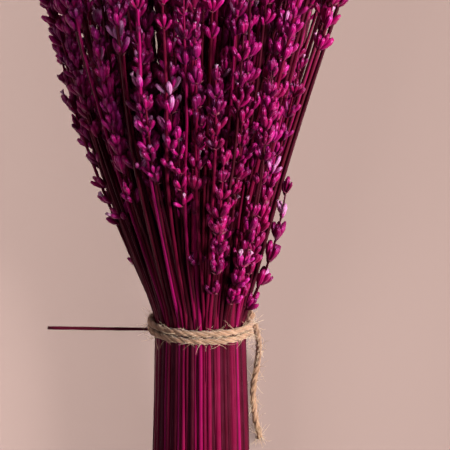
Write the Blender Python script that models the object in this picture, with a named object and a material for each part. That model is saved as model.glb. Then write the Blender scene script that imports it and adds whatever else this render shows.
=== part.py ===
"""A tied bunch of dried lavender, dyed plum and magenta, lying on its back.

Metres, +Z up. The bunch lies along Y with its flower heads towards +Y and its cut ends towards -Y.
Every stem crosses the tie, where two turns of jute twine hold it, and fans out above it. Three
neighbouring stems make one spray, matted together where the twine presses them.
"""

import math
import random

import bmesh
import bpy
import numpy as np
from mathutils import Matrix, Vector

# Driving sizes of the bunch. Heights run along the bunch from the tie, up to the heads.
CUT_HEIGHT = -0.130
CUT_VARIES = 0.003
DOME_HEIGHT = 0.215
DOME_DROP = 0.042
TIE_RADIUS = 0.0173
FLATTEN = 0.88
CUT_SPREAD = 0.24
# How fast the outer stems lean out above the tie: at once, then per metre, then per square metre.
FAN_SLOPE, FAN_OPENS, FAN_CLOSES = 0.225, 1.40, -5.80
# How far the whole bunch bows to the left above the tie, and the height at which it is straight again.
SWAY = -0.0035
SWAY_SPAN = 0.165

# How it lies: the tie is held off the surface by the heads and the splayed cut ends.
TIE_LIFT = 0.0336
LEAN = math.radians(6.2)

# Stems and flower spikes
RINGS = 6
RING_TURN = 0.37
STEMS_PER_SPRAY = 3
STEM_WIDTH = 0.0019
STEM_TIP_WIDTH = 0.0015
STEM_BENDS = 2
SPIKE_LENGTH = 0.048
SPIKE_VARIES = 0.007
SPIKE_REACH = 0.0056
SPIKE_SLIM = 0.72
WHORLS = 4
CALYCES = 4
# Of a whorl's length, and of its reach: where the calyces' tips and the hollows between them are.
TIP_RISE, HOLLOW_RISE, HOLLOW_REACH = 0.88, 0.42, 0.36
# The lowest stems lie flat on the surface from this height down to their cut ends.
REST_HEIGHT = -0.116
MAT_LENGTH = 0.0046
MAT_THICKNESS = 0.0011

# Heads sit at three heights, so that they fit between each other's stems.
TIER_DROPS = (0.0, 0.044, 0.082)
TIER_SHARES = (0.50, 0.84, 1.0)
TIER_VARIES = 0.014
RINGS_OF_TALL_HEADS = 2
# Stems of the outer ring, counted from the right over the top. Some heads sit close above the tie, and
# the rightmost is high, so that its stem is bare. The number is the height of the head's foot.
SET_HEADS = {
    0: 0.006, 1: 0.026, 3: 0.012, 6: 0.050, 14: 0.040, 18: 0.066, 24: 0.040, 28: 0.122, 30: 0.118, 31: 0.128,
    32: 0.112,
}
# A few stems carry one lone whorl below the head, at this height.
LONE_WHORLS = {6: 0.028, 9: 0.068, 10: 0.052, 12: 0.044, 15: 0.021, 21: 0.052, 27: 0.046}
LONE_LENGTH = 0.0085
LONE_SHARE = 0.75

# Keeping the heads clear of each other
LEVEL_STEP = 0.010
LEVELS = 23
CLEARANCE = 0.0008
STEM_CORNER = 0.72
ROUNDS = 200
PUSH_APART, STRAIGHTEN, PULL_HOME = 0.3, 0.22, 0.01
# A head that lies on the surface is pressed this flat on that side.
PRESSED = 0.82
SEED = 18

# The jute twine
TWINE = 0.0028
TWINE_GAP = 0.0008
TURNS = 2
TURN_POINTS = 20
TIE_HEIGHT = -0.0032
TURN_PITCH = 0.0031
KNOT_ANGLE = math.radians(-36)
KNOT_OUT = 0.0026
KNOT_SCALE = 0.00125
KNOT_DEPTH = 0.0014
KNOT_POINTS = 22
KNOT_TWINE = 0.0025
SHORT_END = 0.0042
TAIL_POINTS = 18
TAIL_CLEAR = 0.0002

# The snapped stem end that sticks out sideways just below the twine: the outer stem that it belongs to, its
# tip's reach from the bunch's axis, the heights of its root and tip, and how far above the axis its tip is.
STRAY_STEM = 17
STRAY_WIDTH = 0.0013
STRAY_REACH = 0.0630
STRAY_FROM = -0.0075
STRAY_TIP = -0.0060
STRAY_ABOVE = -0.0045
STRAY_BOW = 0.0006

PLUM = (0.30, 0.012, 0.115, 1)
JUTE = (0.47, 0.27, 0.13, 1)


def place(height, across, above):
    """A point of the bunch in world space: height along its axis, across to the right, above its axis."""
    return Vector((
        across,
        height * math.cos(LEAN) - above * math.sin(LEAN),
        TIE_LIFT + height * math.sin(LEAN) + above * math.cos(LEAN),
    ))


def above_for(world_z, height):
    """How far above the bunch's axis a point at this height is when it is world_z over the surface."""
    return (world_z - TIE_LIFT - height * math.sin(LEAN)) / math.cos(LEAN)


def fan(height):
    """How much wider the bunch is at this height than at the tie."""
    if height < 0:
        return 1 + CUT_SPREAD * height / CUT_HEIGHT
    grown = FAN_SLOPE * height + FAN_OPENS * height**2 + FAN_CLOSES * height**3
    return 1 + grown / TIE_RADIUS


def sway(height):
    """How far the whole bunch bows across at this height, between the tie and its heads."""
    return SWAY * math.sin(math.pi * max(0, min(1, height / SWAY_SPAN))) ** 2


def spike_profile(share):
    """A spike's thickness along its length: slim at its foot and tip, fullest below its middle."""
    return SPIKE_SLIM + (1 - SPIKE_SLIM) * math.sin(math.pi * share**0.8)


def stems_at_the_tie():
    """One entry for each stem, ring by ring: where it crosses the tie, and where its head is."""
    draw = random.Random(SEED)
    stems = []
    for ring in range(1, RINGS + 1):
        count = STEMS_PER_SPRAY * (2 * ring - 1)
        share = (ring - 0.5) / (RINGS - 0.5)
        for i in range(count):
            angle = 2 * math.pi * (i + RING_TURN * ring) / count
            length = SPIKE_LENGTH + draw.uniform(-SPIKE_VARIES, SPIKE_VARIES)
            pick = draw.random()
            tier = next(t for t, limit in enumerate(TIER_SHARES) if pick <= limit)
            tier = min(tier, max(0, ring - RINGS_OF_TALL_HEADS))
            tip = DOME_HEIGHT - DOME_DROP * share**2 - TIER_DROPS[tier] - draw.uniform(0, TIER_VARIES)
            outer = ring == RINGS
            if outer and i in SET_HEADS:
                tip = SET_HEADS[i] + length
            stems.append({
                "angle": angle,
                "share": share,
                "foot": tip - length,
                "tip": tip,
                "lone": LONE_WHORLS.get(i) if outer else None,
                "cut": CUT_HEIGHT + draw.uniform(-CUT_VARIES, CUT_VARIES),
            })
    return stems


def reach_at(stem, height):
    """How far a stem or its head reaches from its centreline at this height, or 0 past its tip."""
    if height > stem["tip"]:
        return 0.0
    if stem["lone"] and 0 < height - stem["lone"] < LONE_LENGTH:
        return SPIKE_REACH * LONE_SHARE
    if height < stem["foot"]:
        return STEM_WIDTH * STEM_CORNER
    share = (height - stem["foot"]) / (stem["tip"] - stem["foot"])
    return SPIKE_REACH * spike_profile(share)


def spread_heads(stems):
    """Centrelines above the tie: fanned out, then pushed apart level by level until heads are clear."""
    heights = np.arange(LEVELS) * LEVEL_STEP
    home = np.array([
        [
            (
                TIE_RADIUS * s["share"] * fan(h) * math.cos(s["angle"]) + sway(h),
                TIE_RADIUS * s["share"] * fan(h) * math.sin(s["angle"]) * FLATTEN,
            )
            for h in heights
        ]
        for s in stems
    ])
    nearby = (-LEVEL_STEP / 3, 0, LEVEL_STEP / 3)
    reach = np.array([[max(reach_at(s, h + step) for step in nearby) for h in heights] for s in stems])
    lowest = np.maximum(reach * PRESSED, STEM_WIDTH)
    floor = np.array([[above_for(z, h) for z, h in zip(row, heights)] for row in lowest])
    lines = home.copy()
    for _ in range(ROUNDS):
        for k in range(1, LEVELS):
            live = np.nonzero(reach[:, k])[0]
            at = lines[live, k]
            apart = at[:, None] - at[None]
            far = np.linalg.norm(apart, axis=2) + np.eye(len(live))
            need = reach[live, k][:, None] + reach[live, k][None] + CLEARANCE
            short = np.clip(need - far, 0, None) * (1 - np.eye(len(live)))
            lines[live, k] += PUSH_APART * (apart / far[..., None] * short[..., None]).sum(axis=1)
        bend = lines[:, :-2] - 2 * lines[:, 1:-1] + lines[:, 2:]
        lines[:, 1:-1] += STRAIGHTEN * bend
        lines[:, -1] = 2 * lines[:, -2] - lines[:, -3]
        lines[:, 1:] += PULL_HOME * (home[:, 1:] - lines[:, 1:])
        lines[:, 1:, 1] = np.maximum(lines[:, 1:, 1], floor[:, 1:])
    return heights, lines


def centre_of(stem, line, heights, height):
    """The world point of a stem's centreline at this height."""
    if height >= 0:
        across = np.interp(height, heights, line[:, 0])
        above = np.interp(height, heights, line[:, 1])
    else:
        radius = TIE_RADIUS * stem["share"] * fan(height)
        across = radius * math.cos(stem["angle"])
        above = radius * math.sin(stem["angle"]) * FLATTEN
        if height <= REST_HEIGHT and rests(stem):
            above = above_for(STEM_WIDTH / 2, height)
    return place(height, float(across), float(above))


def rests(stem):
    """True for a stem whose cut end lies on the surface."""
    above = TIE_RADIUS * stem["share"] * fan(CUT_HEIGHT) * math.sin(stem["angle"]) * FLATTEN
    return above < above_for(STEM_WIDTH / 2, CUT_HEIGHT)


def ring_of(mesh, centre, along, turn, spokes):
    """A ring of vertices round centre, square to along. A spoke is (angle, radius, lift along the stem)."""
    side = Vector((0, 0, 1)).cross(along).normalized()
    up = along.cross(side)
    ring = []
    for angle, radius, lift in spokes:
        point = centre + along * lift
        point += (side * math.cos(angle + turn) + up * math.sin(angle + turn)) * radius
        point.z = max(point.z, 0.0)
        ring.append(mesh.verts.new(point))
    return ring


def square(width):
    """The four corners of a lavender stem, which is square."""
    return [(math.pi / 4 + math.pi / 2 * i, width / math.sqrt(2), 0.0) for i in range(4)]


def crown(reach, length, odd):
    """The tips of a whorl's calyces, standing up and out, with the hollows between them."""
    spokes = []
    for i in range(2 * CALYCES):
        angle = math.pi / 4 + math.pi / CALYCES * i
        tip = (i + odd) % 2 == 0
        if tip:
            spokes.append((angle, reach, length * TIP_RISE))
        else:
            spokes.append((angle, reach * HOLLOW_REACH, length * HOLLOW_RISE))
    return spokes


def join_rings(mesh, low, high):
    """Faces between two rings, of four or eight vertices."""
    if len(low) == len(high):
        for i in range(len(low)):
            j = (i + 1) % len(low)
            mesh.faces.new((low[i], low[j], high[j], high[i]))
        return
    few, many, flip = (low, high, False) if len(low) < len(high) else (high, low, True)
    for i in range(len(few)):
        j = (i + 1) % len(few)
        before, here, after = many[2 * i - 1], many[2 * i], many[2 * i + 1]
        for face in ((few[i], here, before), (few[i], after, here), (few[i], few[j], after)):
            mesh.faces.new(face[::-1] if flip else face)


def sprig(name, stem, line, heights):
    """One stem with its flower spike, lofted from square rings and star-shaped whorls."""
    mesh = bmesh.new()

    def centre(height):
        return centre_of(stem, line, heights, height)

    def along(height):
        step = 0.004
        high = min(height + step, stem["tip"])
        low = max(height - step, stem["cut"])
        return (centre(high) - centre(low)).normalized()

    rings = []

    def add_square(height, width):
        direction = Vector((0, 1, 0)) if lying and height <= REST_HEIGHT else along(height)
        rings.append(ring_of(mesh, centre(height), direction, turn, square(width)))

    def add_whorl(foot, length, reach, odd):
        rings.append(ring_of(mesh, centre(foot), along(foot), turn, crown(reach, length, odd)))

    lying = rests(stem)
    turn = 0.0 if lying else stem["angle"]
    add_square(stem["cut"], STEM_WIDTH)
    if lying:
        add_square(REST_HEIGHT, STEM_WIDTH)
    add_square(0.0, STEM_WIDTH)
    if stem["lone"]:
        add_square(stem["lone"], STEM_TIP_WIDTH)
        add_whorl(stem["lone"], LONE_LENGTH, SPIKE_REACH * LONE_SHARE, 0)
        add_square(stem["lone"] + LONE_LENGTH, STEM_TIP_WIDTH)
    elif stem["foot"] > 3 * LEVEL_STEP:
        for bend in range(1, STEM_BENDS + 1):
            add_square(stem["foot"] * bend / (STEM_BENDS + 1), STEM_WIDTH)
    whorl = (stem["tip"] - stem["foot"]) / WHORLS
    for i in range(WHORLS):
        foot = stem["foot"] + i * whorl
        add_square(foot, STEM_TIP_WIDTH * (1 if i == 0 else 1.5))
        add_whorl(foot, whorl, SPIKE_REACH * spike_profile((i + 0.7) / WHORLS), i % 2)
    for low, high in zip(rings, rings[1:]):
        join_rings(mesh, low, high)
    mesh.faces.new(rings[0][::-1])
    tip = mesh.verts.new(centre(stem["tip"]))
    tip.co.z = max(tip.co.z, 0.0)
    last = rings[-1]
    for i in range(len(last)):
        mesh.faces.new((last[i], last[(i + 1) % len(last)], tip))
    bmesh.ops.recalc_face_normals(mesh, faces=mesh.faces)
    data = bpy.data.meshes.new(name)
    mesh.to_mesh(data)
    mesh.free()
    made = bpy.data.objects.new(name, data)
    bunch.objects.link(made)
    return made


def matted_stems(name, low, high):
    """The bar of pressed pith between two neighbouring stems, hidden under the twine."""
    across = high - low
    along = (place(1, 0, 0) - place(0, 0, 0)).normalized()
    out = across.cross(along).normalized()
    along = out.cross(across).normalized()
    sides = Matrix((across, along * MAT_LENGTH, out * MAT_THICKNESS)).transposed().to_4x4()
    bpy.ops.mesh.primitive_cube_add(size=1)
    bar = bpy.context.active_object
    bar.name = name
    bar.data.transform(Matrix.Translation((low + high) / 2) @ sides)
    for home in list(bar.users_collection):
        home.objects.unlink(bar)
    bunch.objects.link(bar)
    return bar


def stray_end(name, start):
    """The snapped lower end of a stem, bent out sideways just below the twine."""
    far = place(STRAY_TIP, -STRAY_REACH, STRAY_ABOVE)
    middle = (start + far) / 2 + Vector((0, 0, STRAY_BOW))
    path = tube(name, [start, middle, far], STRAY_WIDTH, resolution=1)
    return curve_to_mesh(name, path)


def curve_to_mesh(name, path):
    """A solid from a curve, with its caps welded to its sides."""
    guide = bpy.data.objects.new(name + "_guide", path)
    bunch.objects.link(guide)
    bpy.context.view_layer.update()
    data = bpy.data.meshes.new_from_object(guide.evaluated_get(bpy.context.evaluated_depsgraph_get()))
    mesh = bmesh.new()
    mesh.from_mesh(data)
    bmesh.ops.remove_doubles(mesh, verts=mesh.verts, dist=0.00002)
    bmesh.ops.recalc_face_normals(mesh, faces=mesh.faces)
    mesh.to_mesh(data)
    mesh.free()
    data.name = name
    made = bpy.data.objects.new(name, data)
    bunch.objects.link(made)
    bpy.data.objects.remove(guide)
    return made


def fuse(target, others):
    """One closed body from overlapping ones."""
    tools = bpy.data.collections.new(target.name + "_joined")
    bpy.context.scene.collection.children.link(tools)
    for other in others:
        bunch.objects.unlink(other)
        tools.objects.link(other)
    union = target.modifiers.new("Union", "BOOLEAN")
    union.operation = "UNION"
    union.operand_type = "COLLECTION"
    union.collection = tools
    union.solver = "MANIFOLD"
    bpy.context.view_layer.objects.active = target
    bpy.ops.object.modifier_apply(modifier=union.name)
    for other in others:
        bpy.data.objects.remove(other)
    bpy.data.collections.remove(tools)


def material(name, colour, roughness):
    """A plain finish for a piece."""
    made = bpy.data.materials.new(name)
    made.use_nodes = True
    shader = made.node_tree.nodes["Principled BSDF"]
    shader.inputs["Base Color"].default_value = colour
    shader.inputs["Roughness"].default_value = roughness
    made.diffuse_color = colour
    return made


def sprays(finish):
    """All the lavender, three neighbouring stems to a spray."""
    stems = stems_at_the_tie()
    heights, lines = spread_heads(stems)
    snapped = len(stems) - STEMS_PER_SPRAY * (2 * RINGS - 1) + STRAY_STEM
    for number in range(len(stems) // STEMS_PER_SPRAY):
        name = f"spray_{number + 1:02d}"
        first = number * STEMS_PER_SPRAY
        own = range(first, first + STEMS_PER_SPRAY)
        pieces = [sprig(f"{name}_stem_{i - first}", stems[i], lines[i], heights) for i in own]
        waist = [centre_of(stems[i], lines[i], heights, TIE_HEIGHT) for i in own]
        for low, high in zip(waist, waist[1:]):
            pieces.append(matted_stems(f"{name}_mat", low, high))
        if snapped in own:
            start = centre_of(stems[snapped], lines[snapped], heights, STRAY_FROM)
            pieces.append(stray_end(f"{name}_stray", start))
        fuse(pieces[0], pieces[1:])
        pieces[0].name = name
        pieces[0].data.name = name
        pieces[0].data.materials.append(finish)


def twine_point(angle, height, out=0.0):
    """A point of the twine's centreline round the tie."""
    clear = STEM_WIDTH / 2 + TWINE_GAP + TWINE / 2 + out
    return place(
        height,
        (TIE_RADIUS + clear) * math.cos(angle),
        (TIE_RADIUS * FLATTEN + clear) * math.sin(angle),
    )


def tube(name, points, thickness, cyclic=False, resolution=2):
    """A length of twine as a curve through these points."""
    path = bpy.data.curves.new(name, "CURVE")
    path.dimensions = "3D"
    path.bevel_depth = thickness / 2
    path.bevel_resolution = resolution
    path.use_fill_caps = True
    line = path.splines.new("POLY")
    line.points.add(len(points) - 1)
    for point, at in zip(line.points, points):
        point.co = (*at, 1)
    line.use_cyclic_u = cyclic
    return path


def knot_frame():
    """The knot's centre, with directions out from the bunch, along it and sideways."""
    centre = twine_point(KNOT_ANGLE, TIE_HEIGHT, out=KNOT_OUT)
    out = (centre - place(TIE_HEIGHT, 0, 0)).normalized()
    along = (place(1, 0, 0) - place(0, 0, 0)).normalized()
    return centre, out, along, along.cross(out)


def twine_wraps(finish):
    """Two turns of twine round the stems, with the knot that holds them and its short cut end."""
    count = TURNS * TURN_POINTS
    points = []
    for i in range(count + 1):
        turn = TURNS * i / count
        height = TIE_HEIGHT + TURN_PITCH * (turn - TURNS / 2)
        points.append(twine_point(KNOT_ANGLE + 2 * math.pi * turn, height))
    wraps = curve_to_mesh("twine", tube("twine", points, TWINE))
    centre, out, along, side = knot_frame()
    loop = []
    for i in range(KNOT_POINTS):
        t = 2 * math.pi * i / KNOT_POINTS
        point = centre + along * (math.sin(t) + 2 * math.sin(2 * t)) * KNOT_SCALE
        point += side * (math.cos(t) - 2 * math.cos(2 * t)) * KNOT_SCALE
        loop.append(point - out * math.sin(3 * t) * KNOT_DEPTH)
    knot = curve_to_mesh("twine_knot", tube("twine_knot", loop, KNOT_TWINE, cyclic=True))
    bend = centre + (side + along) * SHORT_END / 2
    stub = [centre, bend, bend + (side + along / 2 + out / 3) * SHORT_END]
    short_end = curve_to_mesh("twine_short_end", tube("twine_short_end", stub, KNOT_TWINE))
    fuse(wraps, [knot, short_end])
    wraps.data.materials.append(finish)


def smooth_route(points, count):
    """Points along one smooth curve through the given ones."""
    guide = [points[0] * 2 - points[1], *points, points[-1] * 2 - points[-2]]
    spans = len(points) - 1
    route = []
    for i in range(count + 1):
        at = min(i / count * spans, spans - 1e-9)
        k, t = int(at), at - int(at)
        a, b, c, d = guide[k : k + 4]
        curved = (2 * a - 5 * b + 4 * c - d) * t**2 + (3 * b - a - 3 * c + d) * t**3
        route.append((2 * b + (c - a) * t + curved) / 2)
    return route


def twine_tail(finish):
    """The long loose end below the knot, which drops beside the stems and lies on the surface."""
    knot = knot_frame()[0]
    lying = TWINE / 2 + TAIL_CLEAR
    guide = [
        knot + Vector((0.0037, -0.0037, -0.0006)),
        knot + Vector((0.0052, -0.0105, -0.0070)),
        Vector((knot.x + 0.0056, knot.y - 0.0160, 0.0085)),
        Vector((knot.x + 0.0050, knot.y - 0.0245, lying)),
        Vector((knot.x + 0.0034, knot.y - 0.0345, lying)),
        Vector((knot.x + 0.0040, knot.y - 0.0450, lying)),
        Vector((knot.x + 0.0062, knot.y - 0.0560, lying)),
    ]
    route = smooth_route(guide, TAIL_POINTS)
    for point in route:
        point.z = max(point.z, lying)
    made = bpy.data.objects.new("twine_tail", tube("twine_tail", route, TWINE))
    bunch.objects.link(made)
    made.data.materials.append(finish)


def centre_on_origin():
    """Moves the bunch so that the middle of its footprint, without the loose twine, is the origin."""
    bpy.context.view_layer.update()
    corners = []
    for piece in bunch.objects:
        if piece.type == "MESH":
            corners.extend(vertex.co for vertex in piece.data.vertices)
    low = Vector(min(c[i] for c in corners) for i in range(3))
    high = Vector(max(c[i] for c in corners) for i in range(3))
    middle = Vector(((low.x + high.x) / 2, (low.y + high.y) / 2, low.z))
    for piece in bunch.objects:
        piece.location = -middle


for old in list(bpy.data.objects):
    bpy.data.objects.remove(old)
bunch = bpy.data.collections.new("Dried lavender bunch")
bpy.context.scene.collection.children.link(bunch)
lavender = material("Dyed lavender", PLUM, 0.62)
jute = material("Jute twine", JUTE, 0.9)
sprays(lavender)
twine_wraps(jute)
twine_tail(jute)
centre_on_origin()
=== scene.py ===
import math
import random

import bpy
import numpy as np
from mathutils import Matrix, Vector


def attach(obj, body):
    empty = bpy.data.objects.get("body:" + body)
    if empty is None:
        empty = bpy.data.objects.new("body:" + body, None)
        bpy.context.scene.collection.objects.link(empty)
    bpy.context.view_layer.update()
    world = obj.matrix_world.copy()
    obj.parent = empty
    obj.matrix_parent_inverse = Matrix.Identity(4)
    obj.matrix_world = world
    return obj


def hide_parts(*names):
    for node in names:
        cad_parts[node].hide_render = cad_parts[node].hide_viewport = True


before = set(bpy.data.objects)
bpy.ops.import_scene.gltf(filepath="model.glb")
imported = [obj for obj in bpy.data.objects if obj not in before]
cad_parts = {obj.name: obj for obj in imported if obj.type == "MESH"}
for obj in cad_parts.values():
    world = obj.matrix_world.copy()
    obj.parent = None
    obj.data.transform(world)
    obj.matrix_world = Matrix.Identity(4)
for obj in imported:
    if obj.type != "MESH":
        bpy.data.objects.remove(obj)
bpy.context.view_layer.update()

scene = bpy.context.scene

# How the bunch lies. It was stood upright for its picture, and here it lies on its back with the same side
# up. Its axis runs along Y, leaning a little up towards the heads. Heights are measured along that axis
# from just above the tie, as in the model that this script dresses.
TIE_LIFT = 0.0336
LEAN = math.radians(6.2)
FOOTPRINT_MIDDLE = Vector((0.001432, 0.038341, 0.0))


def place(height, across, above):
    """A point of the bunch: height along its axis, across to the right, above its axis."""
    return Vector((
        across,
        height * math.cos(LEAN) - above * math.sin(LEAN),
        TIE_LIFT + height * math.sin(LEAN) + above * math.cos(LEAN),
    )) - FOOTPRINT_MIDDLE


# The camera looks down on the bunch, from as far round towards the heads as in the picture, where it stood
# a little above the level of the tie. The bunch's axis runs up the frame and its heads leave it at the top.
CAMERA_ABOVE_LEVEL = math.radians(13)
CAMERA_DISTANCE = 0.80
FRAME_WIDTH = 0.180
SENSOR = 36.0
# It aims at a point above the axis, to the right of it and up the frame from the tie.
AIM_ABOVE = 0.0180
AIM_ACROSS = 0.0100
AIM_UP = 0.0415

leaning = CAMERA_ABOVE_LEVEL - LEAN
towards_camera = Vector((0, math.sin(leaning), math.cos(leaning)))
frame_up = Vector((0, math.cos(leaning), -math.sin(leaning)))
aim = place(0, 0, AIM_ABOVE) + Vector((AIM_ACROSS, 0, 0)) + frame_up * AIM_UP
bpy.ops.object.camera_add(location=aim + towards_camera * CAMERA_DISTANCE)
camera = bpy.context.active_object
camera.rotation_mode = "QUATERNION"
camera_axes = Matrix((Vector((1, 0, 0)), frame_up, towards_camera)).transposed()
camera.rotation_quaternion = camera_axes.to_quaternion()
camera.data.sensor_width = SENSOR
camera.data.lens = SENSOR * CAMERA_DISTANCE / FRAME_WIDTH
scene.camera = camera
scene.view_settings.view_transform = "Standard"

# The surface it lies on is a plain pale sheet of dusty pink paper. A large soft lamp stands to the right, as
# in the picture, so the bunch's left half falls into shade. The paper has a lamp of its own, as a studio
# backdrop does, which keeps the bunch's shadow on it faint.
PAPER_REACH = 14.0
PAPER_DARK = (0.124, 0.0840, 0.073, 1)
PAPER_LIGHT = (0.140, 0.0950, 0.083, 1)
# Where each lamp stands, how wide it is, its power and its tint.
LAMPS = {
    "key": ((1.85, 0.20, 1.20), 0.90, 128.0, (1.0, 0.98, 0.97)),
    "rim": ((0.90, 1.90, 0.80), 0.60, 10.0, (1.0, 0.96, 0.98)),
    "left": ((-1.70, -0.30, 1.30), 0.50, 7.0, (0.92, 0.86, 1.0)),
    "paper_lamp": ((-0.55, 0.04, 0.60), 0.50, 30.0, (1.0, 0.98, 0.97)),
}
LAMPS_AIM = Vector((0, 0.02, 0.03))
ROOM_LIGHT = (1.0, 0.92, 0.90, 1)
ROOM_STRENGTH = 0.13


class Flow:
    """A value, colour or vector on its way through a material's nodes. Sums on it add Math nodes."""

    def __init__(self, tree, socket=None):
        self.tree = tree
        self.socket = socket

    def node(self, kind, settings, inputs, output=0):
        """A new node with its settings made first, and then its sockets linked or filled."""
        made = self.tree.nodes.new(kind)
        for key, value in settings.items():
            if key == "stops":
                ramp = made.color_ramp
                while len(ramp.elements) < len(value):
                    ramp.elements.new(0.5)
                for stop, (position, colour) in zip(ramp.elements, value):
                    stop.position = position
                    stop.color = colour
            else:
                setattr(made, key, value)
        for key, value in inputs.items():
            if isinstance(value, Flow):
                self.tree.links.new(value.socket, made.inputs[key])
            else:
                made.inputs[key].default_value = value
        return Flow(self.tree, made.outputs[output])

    def maths(self, operation, first, second=0.0):
        return self.node("ShaderNodeMath", {"operation": operation}, {0: first, 1: second})

    def __add__(self, other):
        return self.maths("ADD", self, other)

    __radd__ = __add__

    def __mul__(self, other):
        return self.maths("MULTIPLY", self, other)

    __rmul__ = __mul__

    def __sub__(self, other):
        return self.maths("SUBTRACT", self, other)

    def __rsub__(self, other):
        return self.maths("SUBTRACT", other, self)

    def ramp(self, *stops):
        """The colour that this value picks from stops, each a position and its colour."""
        return self.node("ShaderNodeValToRGB", {"stops": stops}, {0: self})

    def blend(self, low, high):
        """The colour between low and high that this value picks."""
        return self.node("ShaderNodeMix", {"data_type": "RGBA"}, {0: self, 6: low, 7: high}, 2)


class Finish:
    """A material with one Principled shader, and the readings that its patterns start from."""

    def __init__(self, name, **constants):
        self.material = bpy.data.materials.new(name)
        self.material.use_nodes = True
        self.tree = self.material.node_tree
        self.shader = self.tree.nodes["Principled BSDF"]
        for key, value in constants.items():
            self.shader.inputs[key.replace("_", " ").title()].default_value = value
        self.start = Flow(self.tree)

    def reading(self, attribute, output="Fac"):
        """What the mesh says at each point under this attribute's name."""
        return self.start.node("ShaderNodeAttribute", {"attribute_name": attribute}, {}, output)

    def noise(self, scale, detail=3.0, stretch=(1, 1, 1), of=None):
        """Noise on object coordinates, or on another vector, stretched along some of its directions."""
        if of is None:
            of = self.start.node("ShaderNodeTexCoord", {}, {}, "Object")
        stretched = self.start.node("ShaderNodeMapping", {}, {"Vector": of, "Scale": stretch})
        inputs = {"Vector": stretched, "Scale": scale, "Detail": detail}
        return self.start.node("ShaderNodeTexNoise", {}, inputs, "Fac")

    def colour(self, flow):
        self.tree.links.new(flow.socket, self.shader.inputs["Base Color"])

    def bump(self, flow, depth):
        inputs = {"Height": flow, "Distance": depth, "Strength": 1.0}
        bumped = self.start.node("ShaderNodeBump", {}, inputs)
        self.tree.links.new(bumped.socket, self.shader.inputs["Normal"])


bpy.ops.mesh.primitive_plane_add(size=PAPER_REACH)
paper = bpy.context.active_object
paper.name = "paper"
paper_finish = Finish("Dusty pink paper", roughness=0.9)
grain = paper_finish.noise(900, detail=2.0)
paper_finish.colour((grain * 0.1 + 0.45).blend(PAPER_DARK, PAPER_LIGHT))
paper.data.materials.append(paper_finish.material)

lamps = {}
for lamp_name, (where, across, power, tint) in LAMPS.items():
    bpy.ops.object.light_add(type="AREA", location=where)
    lamp = bpy.context.active_object
    lamp.name = lamp_name
    lamp.data.size = across
    lamp.data.energy = power
    lamp.data.color = tint
    lamp.rotation_mode = "QUATERNION"
    lamp.rotation_quaternion = (Vector(where) - LAMPS_AIM).to_track_quat("Z", "Y")
    lamps[lamp_name] = lamp
lit_by_own_lamp = bpy.data.collections.new("paper_only")
lit_by_own_lamp.objects.link(paper)
lamps["paper_lamp"].light_linking.receiver_collection = lit_by_own_lamp
lamps["paper_lamp"].light_linking.blocker_collection = lit_by_own_lamp
studio = bpy.data.worlds.new("studio")
studio.use_nodes = True
studio.node_tree.nodes["Background"].inputs["Color"].default_value = ROOM_LIGHT
studio.node_tree.nodes["Background"].inputs["Strength"].default_value = ROOM_STRENGTH
scene.world = studio

# Every lavender stem crosses the tie, pressed against its neighbours in rings, and fans out above it.
# Heads sit at three heights, so that they fit between each other's stems, and push each other clear. This
# is the rule that the solids were laid out by, so each dressed sprig lies where its solid does.
CUT_HEIGHT = -0.130
CUT_VARIES = 0.003
DOME_HEIGHT = 0.215
DOME_DROP = 0.042
TIE_RADIUS = 0.0173
FLATTEN = 0.88
CUT_SPREAD = 0.24
# How fast the outer stems lean out above the tie: at once, then per metre, then per square metre.
FAN_SLOPE, FAN_OPENS, FAN_CLOSES = 0.225, 1.40, -5.80
# How far the whole bunch bows to the left above the tie, and the height at which it is straight again.
SWAY = -0.0035
SWAY_SPAN = 0.165
RINGS = 6
RING_TURN = 0.37
STEMS_PER_SPRAY = 3
STEM_WIDTH = 0.0019
SPIKE_LENGTH = 0.048
SPIKE_VARIES = 0.007
SPIKE_REACH = 0.0056
SPIKE_SLIM = 0.72
# The lowest stems lie flat on the surface from this height down to their cut ends.
REST_HEIGHT = -0.116
TIER_DROPS = (0.0, 0.044, 0.082)
TIER_SHARES = (0.50, 0.84, 1.0)
TIER_VARIES = 0.014
RINGS_OF_TALL_HEADS = 2
# Stems of the outer ring, counted from the right over the top. Some heads sit close above the tie, and
# the rightmost is high, so that its stem is bare. The number is the height of the head's foot.
SET_HEADS = {
    0: 0.006, 1: 0.026, 3: 0.012, 6: 0.050, 14: 0.040, 18: 0.066, 24: 0.040, 28: 0.122, 30: 0.118, 31: 0.128,
    32: 0.112,
}
# A few stems carry one lone whorl below the head, at this height.
LONE_WHORLS = {6: 0.028, 9: 0.068, 10: 0.052, 12: 0.044, 15: 0.021, 21: 0.052, 27: 0.046}
LONE_LENGTH = 0.0085
LONE_SHARE = 0.75
# The levels at which heads are kept clear of each other, and how strongly each round moves them.
LEVEL_STEP = 0.010
LEVELS = 23
CLEARANCE = 0.0008
STEM_CORNER = 0.72
ROUNDS = 200
PUSH_APART, STRAIGHTEN, PULL_HOME = 0.3, 0.22, 0.01
# A head that lies on the surface is pressed this flat on that side.
PRESSED = 0.82
SEED = 18


def above_for(world_z, height):
    """How far above the axis a point at this height is when it is world_z over the surface."""
    return (world_z - TIE_LIFT - height * math.sin(LEAN)) / math.cos(LEAN)


def fan(height):
    """How much wider the bunch is at this height than at the tie."""
    if height < 0:
        return 1 + CUT_SPREAD * height / CUT_HEIGHT
    grown = FAN_SLOPE * height + FAN_OPENS * height**2 + FAN_CLOSES * height**3
    return 1 + grown / TIE_RADIUS


def sway(height):
    """How far the whole bunch bows across at this height, between the tie and its heads."""
    return SWAY * math.sin(math.pi * max(0, min(1, height / SWAY_SPAN))) ** 2


def spike_profile(share):
    """A spike's thickness along its length: slim at its foot and tip, fullest below its middle."""
    return SPIKE_SLIM + (1 - SPIKE_SLIM) * math.sin(math.pi * share**0.8)


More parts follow.
